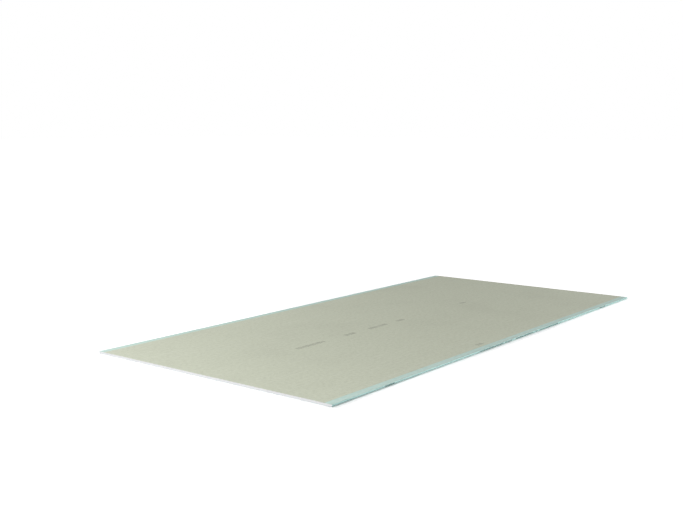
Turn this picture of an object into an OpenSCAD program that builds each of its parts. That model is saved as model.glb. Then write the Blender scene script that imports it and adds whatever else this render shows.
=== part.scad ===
// Tapered-edge moisture-resistant drywall sheet, lying face down.
// X runs along the sheet, Y across it and Z up through it, with the origin under its middle.
// The face paper is underneath and wraps both long edges. Its flaps lie on the back of the core,
// and the back paper laps over them. The core shows only at the two cut ends.

/* [Sheet] */
// Length of the sheet, between its cut ends
sheet_length = 2500; // [600:10:3600]
// Width of the sheet, over its wrapped long edges
sheet_width = 1200; // [400:10:1350]
// Thickness of the sheet away from its long edges, papers included
sheet_thickness = 9.5; // [8:0.5:18]

/* [Long edges] */
// Width of the band along each long edge that falls away from the face
taper_width = 40; // [20:1:80]
// Depth that the face has fallen where its rounding to the edge begins
taper_depth = 1; // [0.4:0.1:1.6]
// Radius of the rounding from the face to the edge
face_edge_radius = 4; // [1.5:0.5:4.5]
// Radius of the fold from the edge on to the back
back_edge_radius = 0.9; // [0.7:0.1:1.2]

/* [Papers] */
// Thickness of the face paper
face_paper_thickness = 0.3; // [0.2:0.05:0.6]
// Thickness of the back paper
back_paper_thickness = 0.3; // [0.2:0.05:0.6]
// Width of the face paper's flap on the back, measured from the long edge
flap_width = 46; // [35:1:80]
// Width of the flap that the back paper leaves bare, measured from the long edge
bare_flap_width = 32; // [10:1:34]

/* [Hidden] */
$fn = 96;
half_width = sheet_width / 2;
// Height of the flaps' upper side, on which the back paper lies
flap_top = sheet_thickness - back_paper_thickness;
// Centres of a long edge's two arcs, as [across, up] from under the sheet's middle line
face_arc = [half_width - face_edge_radius, taper_depth + face_edge_radius];
back_arc = [half_width - back_edge_radius, flap_top - back_edge_radius];
// Which outer quarter of a disc an arc keeps
LOWER = -90;
UPPER = 0;

// Quarter of a disc, on its outer side
module quarter_disc(centre, radius, quarter) {
    reach = 2 * radius;
    translate(centre) intersection() {
        circle(r = radius);
        rotate(quarter) square(reach);
    }
}

// Half of the section that the face paper wraps, drawn this far inside the paper's outer side
module half_section(inset) {
    side = half_width - inset;
    back = flap_top - inset;
    polygon([
        [0, inset],
        [half_width - taper_width, inset],
        [face_arc[0], taper_depth + inset],
        face_arc,
        [side, face_arc[1]],
        [side, back_arc[1]],
        back_arc,
        [back_arc[0], back],
        [0, back],
    ]);
    quarter_disc(face_arc, face_edge_radius - inset, LOWER);
    quarter_disc(back_arc, back_edge_radius - inset, UPPER);
}

module wrapped_section(inset) {
    half_section(inset);
    mirror([1, 0]) half_section(inset);
}

// Core inside the wrapped paper, raised between the flaps so that they lie in shallow rebates
module core_section() {
    field_width = sheet_width - 2 * flap_width;
    wrapped_section(face_paper_thickness);
    translate([-field_width / 2, face_paper_thickness])
        square([field_width, flap_top - face_paper_thickness]);
}

// Makes a section into a solid as long as the sheet
module along_sheet() {
    rotate([90, 0, 90]) linear_extrude(height = sheet_length, center = true) children();
}

module gypsum_core() {
    color("#e6e6e4") along_sheet() core_section();
}

module face_paper() {
    color("#a5c6c2") along_sheet() difference() {
        wrapped_section(0);
        core_section();
    }
}

module back_paper() {
    back_width = sheet_width - 2 * bare_flap_width;
    color("#bfc2b2") along_sheet() {
        translate([-back_width / 2, flap_top]) square([back_width, back_paper_thickness]);
    }
}

gypsum_core();
face_paper();
back_paper();
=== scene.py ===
"""Dresses the drywall sheet: porous cut gypsum ends, wrapped green and grey papers, and plain print."""

import math

import bmesh
import bpy
import numpy as np
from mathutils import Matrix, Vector


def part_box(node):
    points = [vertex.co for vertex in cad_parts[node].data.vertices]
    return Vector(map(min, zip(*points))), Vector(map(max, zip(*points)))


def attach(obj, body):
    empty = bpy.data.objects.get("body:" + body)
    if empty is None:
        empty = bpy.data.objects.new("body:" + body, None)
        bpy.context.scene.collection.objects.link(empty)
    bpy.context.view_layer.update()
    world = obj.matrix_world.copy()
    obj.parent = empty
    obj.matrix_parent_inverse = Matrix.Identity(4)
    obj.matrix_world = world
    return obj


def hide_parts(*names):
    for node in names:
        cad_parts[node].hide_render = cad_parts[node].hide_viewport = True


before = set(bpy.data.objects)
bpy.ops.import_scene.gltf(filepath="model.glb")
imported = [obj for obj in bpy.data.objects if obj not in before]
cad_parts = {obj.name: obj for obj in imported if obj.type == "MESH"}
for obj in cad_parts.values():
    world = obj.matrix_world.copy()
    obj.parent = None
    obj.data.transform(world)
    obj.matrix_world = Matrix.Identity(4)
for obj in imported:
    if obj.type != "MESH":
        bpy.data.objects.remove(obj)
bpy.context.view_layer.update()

MM = 0.001

# The sheet's section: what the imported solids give, and the edge's own sizes as in the part
CORE_LOW, CORE_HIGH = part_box("gypsum_core")
FACE_LOW, FACE_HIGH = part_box("face_paper")
BACK_LOW, BACK_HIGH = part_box("back_paper")
HALF_LENGTH = FACE_HIGH.x
HALF_WIDTH = FACE_HIGH.y
FACE_PAPER = CORE_LOW.z - FACE_LOW.z
FLAP_TOP = FACE_HIGH.z
BACK_TOP = BACK_HIGH.z
BACK_HALF_WIDTH = BACK_HIGH.y
TAPER_WIDTH = 40 * MM
TAPER_DEPTH = 1 * MM
FACE_EDGE_RADIUS = 4 * MM
BACK_EDGE_RADIUS = 0.9 * MM
FLAP_WIDTH = 46 * MM
TAPER_Y = HALF_WIDTH - TAPER_WIDTH
FLAP_END_Y = HALF_WIDTH - FLAP_WIDTH
FACE_ARC_Y = HALF_WIDTH - FACE_EDGE_RADIUS
FACE_ARC_Z = TAPER_DEPTH + FACE_EDGE_RADIUS
BACK_ARC_Y = HALF_WIDTH - BACK_EDGE_RADIUS
BACK_ARC_Z = FLAP_TOP - BACK_EDGE_RADIUS

# How far the papers fall short of the ideal ones, always inwards, and how long their waves are
PAPER_FRAY = 0.45 * MM
FRAY_LENGTHS = (23 * MM, 4 * MM)
EDGE_WAVE = 0.10 * MM
EDGE_WAVE_LENGTH = 170 * MM
LAP_WAVE = 0.8 * MM
LAP_WAVE_LENGTH = 240 * MM
COCKLE = 0.06 * MM
COCKLE_LENGTH = 70 * MM

# The print's thickness, for which the papers leave room, and how deep its bars are rooted in them
INK = 0.05 * MM
INK_ROOT = 0.04 * MM

# The sawn ends: how far they lie behind the papers' ends, their lumps, and their broken bubbles, which are
# rarer the larger they are and as deep as a share of their radius
CUT_RECESS = 0.12 * MM
CUT_ROUGHNESS = 0.35 * MM
CUT_LUMPS = (5 * MM, 1.3 * MM)
BROAD_SHARE = 0.6
PORES_PER_END = 2600
PORE_RADIUS = (0.5 * MM, 1.5 * MM)
PORE_RARITY = 3
PORE_DEPTH = 0.5

# Mesh steps: along the sheet, over a cut end, over the back, and along each stretch of the wrapped paper
STATION_STEP = 10 * MM
END_STATIONS = (1 * MM, 3 * MM)
CUT_STEP = 0.5 * MM
CUT_ROWS = 18
ROUNDING_COLUMNS = 10
REBATE_GAP = 0.05 * MM
BACK_COLUMNS = 115
FACE_STEPS = 20
TAPER_STEPS = 8
FACE_ARC_STEPS = 12
SIDE_STEPS = 4
FOLD_STEPS = 8
FLAP_STEPS = 12

# Above these angles, in degrees, an edge of a mesh is shaded as a crease
PAPER_CREASE = 35
CUT_CREASE = 70

# How many random values a curve or a field has before it repeats
CURVE_KNOTS = 4096
FIELD_KNOTS = (512, 512)

# Maps for the export: the name it looks for, and the heights that a skin's two sides and its rim take up
MAP_NAME = "OFBake"
MAP_GAP = 0.02
PAPER_BANDS = ((0, 0.9), (0.9, 0.98), (0.98, 1))
CORE_BANDS = ((0, 0.45), (0.45, 0.9), (0.9, 1))
CORE_FOLDS = 6

# Plain bars for print. A run has where it starts from the cut end at -X and how long it is, in millimetres
EDGE_RUNS = (
    (294, 60), (952, 120), (1078, 70), (1162, 62), (1256, 72),
    (1334, 84), (1440, 22), (1482, 185), (2138, 74),
)
PRINTED_EDGE = -1
EDGE_BAR_PITCH = 5 * MM
EDGE_BAR_LOW = 2.6 * MM
EDGE_BAR_HIGH = 8.0 * MM
EDGE_BAR_ROWS = 8
# Runs on the back also have how far they lie from its middle line
BACK_RUNS = ((520, 180, 0), (840, 75, 0), (1015, 135, 0), (1230, 70, 0), (1795, 45, 0), (1030, 45, -540))
BACK_BAR_PITCH = 15 * MM
BACK_BAR_HALF_HEIGHT = 11 * MM
BACK_BAR_ROWS = 5
BACK_BAR_STATIONS = 3
# Narrowest and widest bar, as shares of the pitch
BAR_SHARES = (0.45, 0.8)

# Colours, linear
BACK_PAPER = (0.530, 0.557, 0.444, 1)
BACK_PAPER_DARK = (0.400, 0.415, 0.330, 1)
BACK_PAPER_LIGHT = (0.620, 0.640, 0.550, 1)
GREEN_PAPER = (0.400, 0.610, 0.585, 1)
GREEN_PAPER_DARK = (0.300, 0.500, 0.475, 1)
GREEN_PAPER_LIGHT = (0.500, 0.700, 0.680, 1)
# Paler green for the flaps' upper side, a painted sheen
FLAP_PAINTED_SHEEN = (0.540, 0.665, 0.600, 1)
FIBRE_BROWN = (0.200, 0.170, 0.110, 1)
FIBRE_TEAL = (0.160, 0.300, 0.280, 1)
GYPSUM = (0.820, 0.825, 0.835, 1)
GYPSUM_GREY = (0.640, 0.645, 0.660, 1)
EDGE_INK = (0.020, 0.050, 0.045, 1)
BACK_INK = (0.290, 0.300, 0.235, 1)
WHITE = (1, 1, 1, 1)
FLOOR = (0.40, 0.40, 0.40, 1)

# The papers' patterns. What shows goes from one value of its noise to another, up to a strength
CLOUD_SIZE = 350 * MM
CLOUDS_SHOW = (0.45, 0.75, 0.2)
PULP_SIZE = 14 * MM
DARK_PULP_SHOWS = (0.45, 0.75, 0.35)
LIGHT_PULP_SHOWS = (0.52, 0.25, 0.35)
STREAK_WIDTH = 12 * MM
STREAK_STRETCH = 40
STREAKS_SHOW = (0.5, 0.8, 0.35)
# How far the flaps' upper side turns to the paler green of painted sheen
FLAP_SHEEN_SHARE = 0.8
# How far up its roll each paper's pattern starts, in metres, so that the two differ
GREY_ROLL = 0
GREEN_ROLL = 7

# Loose fibres and specks: one to a cell, some cells empty, and their least sizes and full cores as shares
FIBRE_SPACING = 11 * MM
FIBRE_HALF_LENGTH = 4 * MM
FIBRE_HALF_WIDTH = 0.28 * MM
FIBRE_BEND = 5 * MM
SHORTEST_FIBRE = 0.4
FULL_LENGTH = 0.7
FULL_WIDTH = 0.3
SPECK_SPACING = 5 * MM
SPECK_RADIUS = 0.8 * MM
SPECK_BEND = 1 * MM
SMALLEST_SPECK = 0.3
FULL_SPECK = 0.5
EMPTY_CELLS = 0.4
GREY_FLECK = 0.65
GREEN_FLECK = 0.4

# The papers' tooth and finish
TOOTH_SIZE = 1.2 * MM
PULP_WEIGHT = 2.0
PAPER_RELIEF = 0.06 * MM
PAPER_BUMP = 0.6
PAPER_ROUGHNESS = (0.3, 0.7, 0.95, 0.82)
PAPER_SPECULAR = 0.25

# The gypsum's patterns and finish
LUMP_SIZE = 6 * MM
LUMPS_SHOW = (0.45, 0.8, 0.5)
SAW_WIDTH = 1.5 * MM
SAW_STRETCH = 12
SAW_SHOWS = (0.5, 0.8, 0.3)
BUBBLES_PER_METRE = 700
# The bubbles' greying is painted shade in their hollows
BUBBLE_SHADE_SHOWS = (0.25, 0.05, 0.7)
GYPSUM_RELIEF = 0.25 * MM
GYPSUM_BUMP = 0.7
GYPSUM_ROUGHNESS = 0.95
GYPSUM_SPECULAR = 0.2

# The print's worn spots, how bare each print is in them, and its finish
WORN_SIZE = 1.2 * MM
WORN_SHOWS = (0.5, 0.62)
EDGE_BARE = 0.4
BACK_BARE = 0.6
INK_ROUGHNESS = 0.7
INK_SPECULAR = 0.25

# The floor, just under the sheet, and how bright it is drawn in front of the near cut end
FLOOR_SIZE = 120
FLOOR_DROP = 0.2 * MM
FLOOR_NEAR = 1.04
# Where less light falls it is drawn brighter: far from the sheet, between two distances, and along it,
# between two places and up to a brightness
FLOOR_FAR = 2.6
FADE_FAR = (1.4, 2.8)
FLOOR_FADES = (((-1.4, -0.75), 1.42), ((-1.0, 1.2), 1.7))

# The photograph's camera, as fitted to the outline on the floor
CAMERA_PLACE = (-3.575, -2.466, 0.900)
CAMERA_YAW = 38.16
CAMERA_PITCH = 7.73
LENS = 50.0

# Light: how strong the sky and the key are, and each softbox's watts, width, height, place and aim
SKY_LIGHT = 0.34
KEY_LIGHT = 0.45
KEY_PLACE = (3, 4.5, 3.2)
KEY_ANGLE = 25
SOFTBOXES = {
    "near_end_softbox": (42, 2.2, 0.8, (-3.1, 0, 1.23), (-1.2, 0, 0)),
    "near_edge_softbox": (72, 4.0, 0.6, (0.7, -3.0, 0.33), (0.6, -0.6, 0)),
    "far_end_softbox": (17, 2.2, 0.6, (3.3, 0, 0.33), (1.2, 0, 0)),
    "far_edge_softbox": (60, 3.2, 0.6, (-1.4, 3.0, 1.3), (-1.4, 0.6, 0)),
}


def smooth(t):
    """A share from 0 to 1, eased at both ends."""
    return t * t * (3 - 2 * t)


class Wander:
    """A smooth random curve from 0 to 1 along one direction."""

    def __init__(self, wavelength, seed):
        self.wavelength = wavelength
        self.knots = np.random.default_rng(seed).random(CURVE_KNOTS)

    def __call__(self, place):
        steps = np.asarray(place) / self.wavelength
        first = np.floor(steps).astype(int)
        share = smooth(steps - first)
        count = len(self.knots)
        return self.knots[first % count] * (1 - share) + self.knots[(first + 1) % count] * share


class Clouds:
    """A smooth random field from 0 to 1 over two directions."""

    def __init__(self, wavelength, seed):
        self.wavelength = wavelength
        self.knots = np.random.default_rng(seed).random(FIELD_KNOTS)

    def __call__(self, across, along):
        u, v = np.broadcast_arrays(across / self.wavelength, along / self.wavelength)
        i, j = np.floor(u).astype(int), np.floor(v).astype(int)
        s, t = smooth(u - i), smooth(v - j)
        rows, columns = self.knots.shape

        def knot(di, dj):
            return self.knots[(i + di) % rows, (j + dj) % columns]

        near = knot(0, 0) * (1 - s) + knot(1, 0) * s
        far = knot(0, 1) * (1 - s) + knot(1, 1) * s
        return near * (1 - t) + far * t


def grid_quads(index):
    """Quads over a grid of vertex numbers."""
    corners = (index[:-1, :-1], index[1:, :-1], index[1:, 1:], index[:-1, 1:])
    return np.stack(corners, axis=-1).reshape(-1, 4)


def rim_of(index):
    """The vertex numbers round the outside of a grid, back to the first."""
    return np.concatenate([index[0], index[1:, -1], index[-1, -2::-1], index[-2::-1, 0]])


def laid_flat(rows, across, low, high, folds=1):
    """Where a grid's quads lie on a map, between two heights, with its rows in folds above one another."""
    run = math.ceil((rows - 1) / folds)
    row, column = np.indices((rows - 1, len(across) - 1))
    u = np.stack([row % run + step for step in (0, 1, 1, 0)], axis=-1) / run
    v = np.stack([across[column + step] for step in (0, 0, 1, 1)], axis=-1)
    fold = (row // run)[..., None]
    fold_height = (high - low) / folds
    u, v = (MAP_GAP + (1 - 2 * MAP_GAP) * share for share in (u, v))
    return np.stack([u, low + fold_height * (fold + v)], axis=-1).reshape(-1, 2)


def thick_sheet(outer, inner, bands=PAPER_BANDS, folds=1):
    """A closed skin over two like grids of points, their two sides and the rim between them, with its map."""
    rows, columns = outer.shape[:2]
    front = np.arange(rows * columns).reshape(rows, columns)
    back = front + rows * columns
    rim = np.stack([rim_of(front), rim_of(back)], axis=1)
    points = np.concatenate([outer.reshape(-1, 3), inner.reshape(-1, 3)])
    quads = np.concatenate([grid_quads(front), grid_quads(back), grid_quads(rim)])
    lengths = np.linalg.norm(np.diff(outer[rows // 2], axis=0), axis=1)
    across = np.concatenate([[0], np.cumsum(lengths)]) / np.sum(lengths)
    sides = [laid_flat(rows, across, *band, folds) for band in bands[:2]]
    return points, quads, np.concatenate([*sides, laid_flat(len(rim), np.arange(2), *bands[2])])


def join_sheets(sheets):
    """Several closed skins as one, each in a square of its own on the map."""
    side = math.ceil(math.sqrt(len(sheets)))
    joined = []
    first = 0
    for number, (points, quads, spots) in enumerate(sheets):
        joined.append((points, quads + first, (spots + divmod(number, side)) / side))
        first += len(points)
    return [np.concatenate(part) for part in zip(*joined)]


def make_piece(name, points, quads, spots, material, slot, node=None, crease=PAPER_CREASE):
    """A mesh object that rides on the sheet and hides the imported part of a node, where one is named."""
    mesh = bpy.data.meshes.new(name)
    mesh.from_pydata(points.tolist(), [], quads.tolist())
    mesh.uv_layers.new(name=MAP_NAME).data.foreach_set("uv", spots.ravel())
    shape = bmesh.new()
    shape.from_mesh(mesh)
    bmesh.ops.recalc_face_normals(shape, faces=shape.faces)
    shape.to_mesh(mesh)
    shape.free()
    mesh.shade_smooth()
    mesh.set_sharp_from_angle(angle=math.radians(crease))
    mesh.materials.append(material)
    piece = bpy.data.objects.new(name, mesh)
    bpy.context.scene.collection.objects.link(piece)
    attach(piece, "root")
    if node:
        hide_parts(node)
    return piece


def line(start, end, count):
    """Points from start up to but not at end."""
    share = np.arange(count)[:, None] / count
    return np.array(start) * (1 - share) + np.array(end) * share


def arc(centre, radius, first, last, count):
    """Points round an arc, between two angles in degrees, the last one left out."""
    angle = np.radians(first + (last - first) * np.arange(count) / count)
    return np.array(centre) + radius * np.stack([np.cos(angle), np.sin(angle)], axis=1)


def wrapped_path(inset):
    """The face paper's path across the sheet, from one flap's end to the other's, as (y, z) points."""
    face = FACE_LOW.z + inset
    side = HALF_WIDTH - inset
    back = FLAP_TOP - inset
    taper_start = (TAPER_Y, face)
    taper_end = (FACE_ARC_Y, face + TAPER_DEPTH)
    half = np.concatenate([
        line((0, face), taper_start, FACE_STEPS),
        line(taper_start, taper_end, TAPER_STEPS),
        arc((FACE_ARC_Y, FACE_ARC_Z), FACE_EDGE_RADIUS - inset, -90, 0, FACE_ARC_STEPS),
        line((side, FACE_ARC_Z), (side, BACK_ARC_Z), SIDE_STEPS),
        arc((BACK_ARC_Y, BACK_ARC_Z), BACK_EDGE_RADIUS - inset, 0, 90, FOLD_STEPS),
        line((BACK_ARC_Y, back), (FLAP_END_Y, back), FLAP_STEPS),
        [(FLAP_END_Y, back)],
    ])
    return np.concatenate([half[:0:-1] * (-1, 1), half])


def stations():
    """Places along the sheet, closer together just inside its ends."""
    count = round(2 * HALF_LENGTH / STATION_STEP) + 1
    even = np.linspace(-HALF_LENGTH, HALF_LENGTH, count)
    near_ends = [side * (HALF_LENGTH - gap) for gap in END_STATIONS for side in (-1, 1)]
    return np.sort(np.concatenate([even, near_ends]))


def swept(places, path):
    """Points along the sheet at each place, for each (y, z) point of a path."""
    points = np.empty((len(places), len(path), 3))
    points[:, :, 0] = places[:, None]
    points[:, :, 1:] = path[None]
    return points


def fray_ends(points, seed):
    """Draws the first and last rows in a little, each in its own way, as torn fibres leave a cut paper."""
    coarse, fine = (Wander(length, seed + step) for step, length in enumerate(FRAY_LENGTHS))
    for row, inwards in ((0, 1), (-1, -1)):
        across = points[row, :, 1] + points[row, :, 2] + row
        points[row, :, 0] += inwards * PAPER_FRAY * (coarse(across) + fine(across)) / 2


EDGE_WANDER = {-1: Wander(EDGE_WAVE_LENGTH, seed=11), 1: Wander(EDGE_WAVE_LENGTH, seed=12)}


def edge_hollow(places, side):
    """How far the wrapped edge lies inside its ideal line at each place along the sheet."""
    return INK + EDGE_WAVE * EDGE_WANDER[side](places)


def face_paper(material):
    """The green paper under the face, round both long edges and on to the back."""
    outer_path, inner_path = wrapped_path(0), wrapped_path(FACE_PAPER)
    places = stations()
    outer, inner = swept(places, outer_path), swept(places, inner_path)
    nearness = np.clip((np.abs(outer_path[:, 0]) - FACE_ARC_Y) / FACE_EDGE_RADIUS, 0, 1)
    for side in (-1, 1):
        on_side = np.where(np.sign(outer_path[:, 0]) == side, smooth(nearness), 0)
        outer[:, :, 1] -= side * edge_hollow(places, side)[:, None] * on_side[None]
    fray_ends(outer, seed=21)
    inner[[0, -1], :, 0] = outer[[0, -1], :, 0]
    return make_piece("face_paper_wrap", *thick_sheet(outer, inner), material, "green_paper", "face_paper")


COCKLES = Clouds(COCKLE_LENGTH, seed=31)


def back_height(along, across):
    """Height of the back paper's upper side, which cockles a little below its ideal plane."""
    return BACK_TOP - INK - COCKLE * COCKLES(along, across)


def back_paper(material):
    """The grey paper of the back, whose two long sides wave a little on the flaps."""
    places = stations()
    shares = np.linspace(-1, 1, BACK_COLUMNS)
    outer = np.empty((len(places), len(shares), 3))
    outer[:, :, 0] = places[:, None]
    left, right = (Wander(LAP_WAVE_LENGTH, seed)(places) for seed in (32, 33))
    half_widths = BACK_HALF_WIDTH - LAP_WAVE * np.where(shares[None] < 0, left[:, None], right[:, None])
    outer[:, :, 1] = shares[None] * half_widths
    outer[:, :, 2] = back_height(outer[:, :, 0], outer[:, :, 1])
    fray_ends(outer, seed=34)
    inner = outer.copy()
    inner[:, :, 2] = BACK_LOW.z
    return make_piece("back_paper_lap", *thick_sheet(outer, inner), material, "grey_paper", "back_paper")


def core_bottom(across):
    """Height of the core's lower side, at each place across the sheet."""
    out = np.abs(across)
    taper = np.clip((out - TAPER_Y) / (TAPER_WIDTH - FACE_EDGE_RADIUS), 0, 1)
    radius = FACE_EDGE_RADIUS - FACE_PAPER
    reach = np.clip(out - FACE_ARC_Y, 0, radius)
    return CORE_LOW.z + TAPER_DEPTH * taper + radius - np.sqrt(radius**2 - reach**2)


def core_top(across):
    """Height of the core's upper side, which is lower under the flaps."""
    out = np.abs(across)
    radius = BACK_EDGE_RADIUS - FACE_PAPER
    reach = np.clip(out - BACK_ARC_Y, 0, radius)
    under_flap = FLAP_TOP - FACE_PAPER - radius + np.sqrt(radius**2 - reach**2)
    return np.where(out < FLAP_END_Y, FLAP_TOP, under_flap)


def core_columns():
    """Places across the sheet for the columns of a cut end, closer together at the rounded edges."""
    rebate_sides = [FLAP_END_Y - REBATE_GAP, FLAP_END_Y + REBATE_GAP]
    field = np.arange(CUT_STEP, FACE_ARC_Y - CUT_STEP / 2, CUT_STEP)
    field = field[np.abs(field - FLAP_END_Y) > CUT_STEP / 2]
    turn = np.radians(np.linspace(0, 90, ROUNDING_COLUMNS))
    rounding = FACE_ARC_Y + (FACE_EDGE_RADIUS - FACE_PAPER) * np.sin(turn)
    half = np.sort(np.concatenate([field, rounding, rebate_sides]))
    return np.concatenate([-half[::-1], [0], half])


def cut_face(across, heights, seed):
    """How deep the sawn gypsum lies behind the sheet's end, over a grid of places."""
    rng = np.random.default_rng(seed)
    broad, fine = (Clouds(size, seed + step) for step, size in enumerate(CUT_LUMPS, 1))
    rough = BROAD_SHARE * broad(across, heights) + (1 - BROAD_SHARE) * fine(across, heights)
    depth = CUT_RECESS + CUT_ROUGHNESS * rough
    columns = across[:, 0]
    for _ in range(PORES_PER_END):
        place = rng.uniform(columns[0], columns[-1])
        height = rng.uniform(CORE_LOW.z, CORE_HIGH.z)
        radius = PORE_RADIUS[0] + (PORE_RADIUS[1] - PORE_RADIUS[0]) * rng.random() ** PORE_RARITY
        first, last = np.searchsorted(columns, (place - radius, place + radius))
        away = np.hypot(across[first:last] - place, heights[first:last] - height) / radius
        depth[first:last] += PORE_DEPTH * radius * np.clip(1 - away**2, 0, 1) ** 2
    return depth


def gypsum_core(material):
    """The core, with its two sawn ends in full and long plain quads between them."""
    columns = core_columns()
    shares = np.linspace(0, 1, CUT_ROWS + 1)
    across = np.repeat(columns[:, None], len(shares), axis=1)
    low, high = core_bottom(columns), core_top(columns)
    heights = low[:, None] + (high - low)[:, None] * shares[None]
    ends = []
    for side, seed in ((-1, 41), (1, 51)):
        depth = cut_face(across, heights, seed)
        ends.append(np.stack([side * (HALF_LENGTH - depth), across, heights], axis=-1))
    skin = thick_sheet(*ends, CORE_BANDS, CORE_FOLDS)
    return make_piece("cut_gypsum_core", *skin, material, "gypsum", "gypsum_core", CUT_CREASE)


def bars_in(start, length, pitch):
    """The two ends of each bar of a run, along the sheet. Where it starts is also its seed."""
    count = max(1, int(length * MM / pitch))
    shares = np.random.default_rng(start).uniform(*BAR_SHARES, count)
    starts = -HALF_LENGTH + start * MM + pitch * np.arange(count)
    return zip(starts, starts + pitch * shares)


def edge_band(inset):
    """The printed edge's outside from the bars' foot to their head, as (y, z) points."""
    heights = np.linspace(EDGE_BAR_LOW, EDGE_BAR_HIGH, EDGE_BAR_ROWS)
    radius = FACE_EDGE_RADIUS - inset
    below = np.clip(FACE_ARC_Z - heights, 0, radius)
    return np.stack([PRINTED_EDGE * (FACE_ARC_Y + np.sqrt(radius**2 - below**2)), heights], axis=1)


def edge_print(material):
    """Bars on one long edge, which follow its rounding and its wave."""
    bars = []
    for run in EDGE_RUNS:
        for ends in bars_in(*run, EDGE_BAR_PITCH):
            places = np.array(ends)
            outer, inner = swept(places, edge_band(-INK)), swept(places, edge_band(INK_ROOT))
            for side in (outer, inner):
                side[:, :, 1] -= PRINTED_EDGE * edge_hollow(places, PRINTED_EDGE)[:, None]
            bars.append(thick_sheet(outer, inner))
    return make_piece("edge_print", *join_sheets(bars), material, "green_paper")


def back_print(material):
    """Bars on the back, which follow its cockle."""
    bars = []
    reach = np.linspace(-BACK_BAR_HALF_HEIGHT, BACK_BAR_HALF_HEIGHT, BACK_BAR_ROWS)
    for start, length, across in BACK_RUNS:
        path = np.stack([across * MM + reach, np.zeros(BACK_BAR_ROWS)], axis=1)
        for ends in bars_in(start, length, BACK_BAR_PITCH):
            outer = swept(np.linspace(*ends, BACK_BAR_STATIONS), path)
            outer[:, :, 2] = back_height(outer[:, :, 0], outer[:, :, 1]) + INK
            bars.append(thick_sheet(outer, outer - (0, 0, INK + INK_ROOT)))
    return make_piece("back_print", *join_sheets(bars), material, "grey_paper")


def put(tree, kind, inputs=None, **settings):
    """Adds a node, with its settings, and sets or links its inputs by name or number."""
    node = tree.nodes.new(kind)
    for name, value in settings.items():
        setattr(node, name, value)
    for name, value in (inputs or {}).items():
        if isinstance(value, bpy.types.NodeSocket):
            tree.links.new(value, node.inputs[name])
        else:
            node.inputs[name].default_value = value
    return node


def math_node(tree, operation, one, other=0.0):
    """What an operation makes of one or two numbers."""
    return put(tree, "ShaderNodeMath", {0: one, 1: other}, operation=operation).outputs["Value"]


def vector_node(tree, operation, inputs, output="Vector"):
    """What an operation makes of the vectors given as its inputs."""
    return put(tree, "ShaderNodeVectorMath", inputs, operation=operation).outputs[output]


def window(tree, value, low, high, most=1.0, least=0.0):
    """The least up to low, rising smoothly to the most at high."""
    limits = {"Value": value, "From Min": low, "From Max": high, "To Min": least, "To Max": most}
    return put(tree, "ShaderNodeMapRange", limits, interpolation_type="SMOOTHSTEP").outputs["Result"]


def tint(tree, colour, other, share):
    """One colour turned into another by a share."""
    inputs = {"Fac": share, "Color1": colour, "Color2": other}
    return put(tree, "ShaderNodeMixRGB", inputs).outputs["Color"]


def noise(tree, place, size, detail=3.0, stretch=(1, 1, 1)):
    """Noise whose features are about this many metres across, drawn out by stretch along each axis."""
    scale = tuple(1 / s for s in stretch)
    drawn = put(tree, "ShaderNodeMapping", {"Vector": place, "Scale": scale}).outputs["Vector"]
    settings = {"Vector": drawn, "Scale": 1 / size, "Detail": detail, "Roughness": 0.6}
    return put(tree, "ShaderNodeTexNoise", settings).outputs["Fac"]


def bump(tree, height, distance, strength):
    """A surface's normal where this height, times a distance in metres, is its relief."""
    inputs = {"Height": height, "Distance": distance, "Strength": strength}
    return put(tree, "ShaderNodeBump", inputs).outputs["Normal"]


def start_material(name):
    """An empty material, its node tree and its object coordinates in metres."""
    material = bpy.data.materials.new(name)
    material.use_nodes = True
    tree = material.node_tree
    tree.nodes.clear()
    return material, tree, put(tree, "ShaderNodeTexCoord").outputs["Object"]


def put_shader(tree, colour, roughness, specular, **others):
    """Adds a material's shader, with these inputs and any others by name, and its output."""
    inputs = {"Base Color": colour, "Roughness": roughness, "Specular IOR Level": specular, **others}
    shader = put(tree, "ShaderNodeBsdfPrincipled", inputs)
    put(tree, "ShaderNodeOutputMaterial", {"Surface": shader.outputs["BSDF"]})


def unrolled(tree, place, roll):
    """The paper laid flat, along the sheet and across it on round its edges, from this far up its roll."""
    sides = put(tree, "ShaderNodeSeparateXYZ", {"Vector": place}).outputs
    along = math_node(tree, "ADD", sides["X"], roll)
    across = math_node(tree, "ADD", sides["Y"], sides["Z"])
    return put(tree, "ShaderNodeCombineXYZ", {"X": along, "Y": across}).outputs["Vector"]


def bent(tree, flat, size):
    """The same place wandering by up to half this size, so that what is drawn straight comes out bent."""
    settings = {"Vector": flat, "Scale": 1 / size, "Detail": 1.0}
    wander = put(tree, "ShaderNodeTexNoise", settings).outputs["Color"]
    centred = vector_node(tree, "SUBTRACT", {0: wander, 1: (0.5, 0.5, 0.5)})
    shift = vector_node(tree, "SCALE", {0: centred, "Scale": size})
    return vector_node(tree, "ADD", {0: flat, 1: shift})


def scattered(tree, flat, spacing):
    """One point in each cell of the paper: the way from it to here, its strength and two other chances."""
    cells = {"Vector": flat, "Scale": 1 / spacing}
    points = put(tree, "ShaderNodeTexVoronoi", cells, voronoi_dimensions="2D").outputs
    way = vector_node(tree, "SUBTRACT", {0: flat, 1: points["Position"]})
    chance = put(tree, "ShaderNodeSeparateColor", {"Color": points["Color"]}).outputs
    strength = window(tree, chance["Green"], EMPTY_CELLS, 1.0)
    return way, strength, chance["Red"], chance["Blue"]


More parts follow.
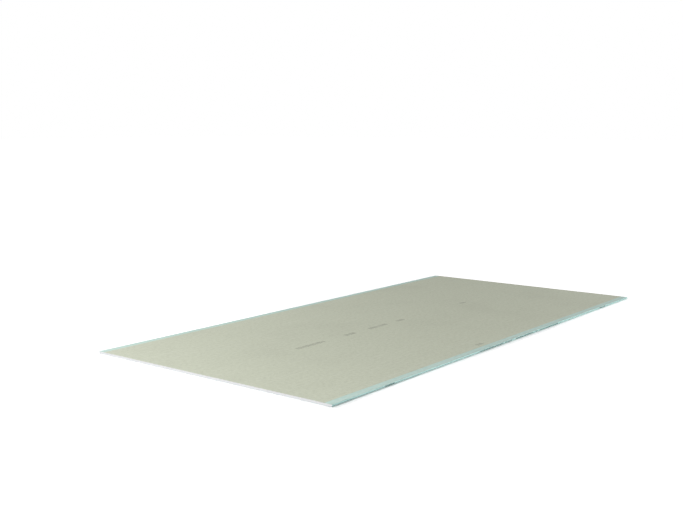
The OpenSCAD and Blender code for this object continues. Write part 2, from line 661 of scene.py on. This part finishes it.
def fibres(tree, flat, spacing, half_length, half_width):
    """Single short fibres in some of the cells, each with its own length, angle and strength, as a mask."""
    way, strength, turn, size = scattered(tree, flat, spacing)
    angle = math_node(tree, "MULTIPLY", turn, 2 * math.pi)
    turned = put(tree, "ShaderNodeVectorRotate", {"Vector": way, "Angle": angle}).outputs["Vector"]
    sides = put(tree, "ShaderNodeSeparateXYZ", {"Vector": turned}).outputs
    tip = window(tree, size, 0, 1, most=half_length, least=SHORTEST_FIBRE * half_length)
    full = math_node(tree, "MULTIPLY", tip, FULL_LENGTH)
    short = window(tree, math_node(tree, "ABSOLUTE", sides["X"]), tip, full)
    thin = window(tree, math_node(tree, "ABSOLUTE", sides["Y"]), half_width, FULL_WIDTH * half_width)
    return math_node(tree, "MULTIPLY", strength, math_node(tree, "MULTIPLY", short, thin))


def specks(tree, flat, spacing, radius):
    """Single round specks in some of the cells, each with its own size and strength, as a mask."""
    way, strength, _, size = scattered(tree, flat, spacing)
    away = vector_node(tree, "LENGTH", {0: way}, output="Value")
    rim = window(tree, size, 0, 1, most=radius, least=SMALLEST_SPECK * radius)
    full = math_node(tree, "MULTIPLY", rim, FULL_SPECK)
    return math_node(tree, "MULTIPLY", strength, window(tree, away, rim, full))


def paper_colour(tree, flat, pulp, base, dark, light, fibre, fleck):
    """Clouded pulp with streaks along the sheet, and loose fibres and specks as strong as fleck."""
    clouds = noise(tree, flat, CLOUD_SIZE)
    streaks = noise(tree, flat, STREAK_WIDTH, stretch=(STREAK_STRETCH, 1, 1))
    colour = tint(tree, base, dark, window(tree, clouds, *CLOUDS_SHOW))
    colour = tint(tree, colour, dark, window(tree, pulp, *DARK_PULP_SHOWS))
    colour = tint(tree, colour, light, window(tree, pulp, *LIGHT_PULP_SHOWS))
    colour = tint(tree, colour, light, window(tree, streaks, *STREAKS_SHOW))
    hairs = bent(tree, flat, FIBRE_BEND)
    dots = bent(tree, flat, SPECK_BEND)
    loose = fibres(tree, hairs, FIBRE_SPACING, FIBRE_HALF_LENGTH, FIBRE_HALF_WIDTH)
    for mask in (loose, specks(tree, dots, SPECK_SPACING, SPECK_RADIUS)):
        colour = tint(tree, colour, fibre, math_node(tree, "MULTIPLY", mask, fleck))
    return colour


def finish_paper(tree, flat, pulp, colour):
    """Gives a paper its colour and a matt, slightly uneven tooth."""
    tooth = noise(tree, flat, TOOTH_SIZE, detail=2.0)
    height = math_node(tree, "ADD", tooth, math_node(tree, "MULTIPLY", pulp, PULP_WEIGHT))
    roughness = window(tree, pulp, *PAPER_ROUGHNESS)
    put_shader(tree, colour, roughness, PAPER_SPECULAR, Normal=bump(tree, height, PAPER_RELIEF, PAPER_BUMP))


def grey_paper_material():
    """Grey-beige recycled paper of the back."""
    material, tree, place = start_material("grey_back_paper")
    flat = unrolled(tree, place, GREY_ROLL)
    pulp = noise(tree, flat, PULP_SIZE, detail=5.0)
    tones = (BACK_PAPER, BACK_PAPER_DARK, BACK_PAPER_LIGHT, FIBRE_BROWN)
    finish_paper(tree, flat, pulp, paper_colour(tree, flat, pulp, *tones, GREY_FLECK))
    return material


def green_paper_material():
    """Mint-green face paper, drawn paler on the upper side of its flaps, where they lie bare on the back, as
    painted sheen.
    """
    material, tree, place = start_material("green_face_paper")
    flat = unrolled(tree, place, GREEN_ROLL)
    pulp = noise(tree, flat, PULP_SIZE, detail=5.0)
    height = put(tree, "ShaderNodeSeparateXYZ", {"Vector": place}).outputs["Z"]
    # Painted sheen: the flaps' upper side is tinted a paler green
    painted_sheen = window(tree, height, BACK_ARC_Z, FLAP_TOP, FLAP_SHEEN_SHARE)
    base = tint(tree, GREEN_PAPER, FLAP_PAINTED_SHEEN, painted_sheen)
    tones = (base, GREEN_PAPER_DARK, GREEN_PAPER_LIGHT, FIBRE_TEAL)
    finish_paper(tree, flat, pulp, paper_colour(tree, flat, pulp, *tones, GREEN_FLECK))
    return material


def gypsum_material():
    """Sawn foamed gypsum: chalk white, greyer along the saw's passes, and greyer in its bubbles as painted
    shade in their hollows.
    """
    material, tree, place = start_material("gypsum")
    lumps = noise(tree, place, LUMP_SIZE, detail=5.0)
    saw = noise(tree, place, SAW_WIDTH, detail=2.0, stretch=(1, 1, SAW_STRETCH))
    cells = {"Vector": place, "Scale": BUBBLES_PER_METRE}
    bubbles = put(tree, "ShaderNodeTexVoronoi", cells).outputs["Distance"]
    colour = GYPSUM
    # Lumps and saw passes are the gypsum's own tone; the bubbles' greying is painted shade in their hollows
    for pattern, shows in ((lumps, LUMPS_SHOW), (saw, SAW_SHOWS), (bubbles, BUBBLE_SHADE_SHOWS)):
        colour = tint(tree, colour, GYPSUM_GREY, window(tree, pattern, *shows))
    normal = bump(tree, math_node(tree, "ADD", lumps, bubbles), GYPSUM_RELIEF, GYPSUM_BUMP)
    put_shader(tree, colour, GYPSUM_ROUGHNESS, GYPSUM_SPECULAR, Normal=normal)
    return material


def ink_material(name, ink, paper, bare):
    """Thin print that leaves some of the paper's tooth bare."""
    material, tree, place = start_material(name)
    worn = window(tree, noise(tree, place, WORN_SIZE, detail=4.0), *WORN_SHOWS, bare)
    put_shader(tree, tint(tree, ink, paper, worn), INK_ROUGHNESS, INK_SPECULAR)
    return material


def seen_directly(tree):
    """One where a camera, a reflection or clear glass looks at a surface, nought for the light it gives."""
    path = put(tree, "ShaderNodeLightPath").outputs
    mirrored = math_node(tree, "MAXIMUM", path["Is Glossy Ray"], path["Is Transmission Ray"])
    return math_node(tree, "MAXIMUM", path["Is Camera Ray"], mirrored)


def floor():
    """A plain pale floor that is seen as white, also where less light falls, and still takes the shadow."""
    bpy.ops.mesh.primitive_plane_add(size=FLOOR_SIZE)
    plane = bpy.context.object
    plane.name = "floor"
    plane.location.z = -FLOOR_DROP
    material, tree, place = start_material("floor_white")
    away = vector_node(tree, "LENGTH", {0: place}, output="Value")
    white = window(tree, away, *FADE_FAR, FLOOR_FAR, FLOOR_NEAR)
    along = put(tree, "ShaderNodeSeparateXYZ", {"Vector": place}).outputs["X"]
    for limits, most in FLOOR_FADES:
        white = math_node(tree, "MAXIMUM", white, window(tree, along, *limits, most, FLOOR_NEAR))
    put_shader(tree, tint(tree, FLOOR, white, seen_directly(tree)), roughness=1.0, specular=0.0)
    plane.data.materials.append(material)


def aimed(name, lamp, place, target):
    """Hangs a lamp at a place and turns it to face a target."""
    hung = bpy.data.objects.new(name, lamp)
    hung.location = place
    hung.rotation_euler = (Vector(target) - Vector(place)).to_track_quat("-Z", "Y").to_euler()
    hung.visible_camera = False
    bpy.context.scene.collection.objects.link(hung)


def softbox(name, watts, width, height, place, target):
    """A broad lamp that isn't seen itself."""
    lamp = bpy.data.lights.new(name, "AREA")
    lamp.shape = "RECTANGLE"
    lamp.size = width
    lamp.size_y = height
    lamp.energy = watts
    aimed(name, lamp, place, target)


def sky():
    """Even light from all round, seen as plain white."""
    world = bpy.data.worlds.new("studio")
    bpy.context.scene.world = world
    world.use_nodes = True
    tree = world.node_tree
    levels = {"Value": seen_directly(tree), "To Min": SKY_LIGHT, "To Max": 1.0}
    strength = put(tree, "ShaderNodeMapRange", levels).outputs["Result"]
    background = tree.nodes["Background"]
    background.inputs["Color"].default_value = WHITE
    tree.links.new(strength, background.inputs["Strength"])


def lights():
    """A broad key from behind, and a softbox off each side of the sheet."""
    key = bpy.data.lights.new("key", "SUN")
    key.energy = KEY_LIGHT
    key.angle = math.radians(KEY_ANGLE)
    aimed("key", key, KEY_PLACE, (0, 0, 0))
    for name, settings in SOFTBOXES.items():
        softbox(name, *settings)


def camera():
    """The photograph's camera."""
    lens = bpy.data.cameras.new("camera")
    lens.lens = LENS
    eye = bpy.data.objects.new("camera", lens)
    eye.location = CAMERA_PLACE
    eye.rotation_euler = (math.radians(90 - CAMERA_PITCH), 0, math.radians(CAMERA_YAW - 90))
    bpy.context.scene.collection.objects.link(eye)
    bpy.context.scene.camera = eye


camera()
sky()
lights()
floor()

gypsum_core(gypsum_material())
face_paper(green_paper_material())
back_paper(grey_paper_material())
edge_print(ink_material("edge_ink", EDGE_INK, GREEN_PAPER, EDGE_BARE))
back_print(ink_material("back_ink", BACK_INK, BACK_PAPER, BACK_BARE))

bpy.context.scene.view_settings.view_transform = "Standard"
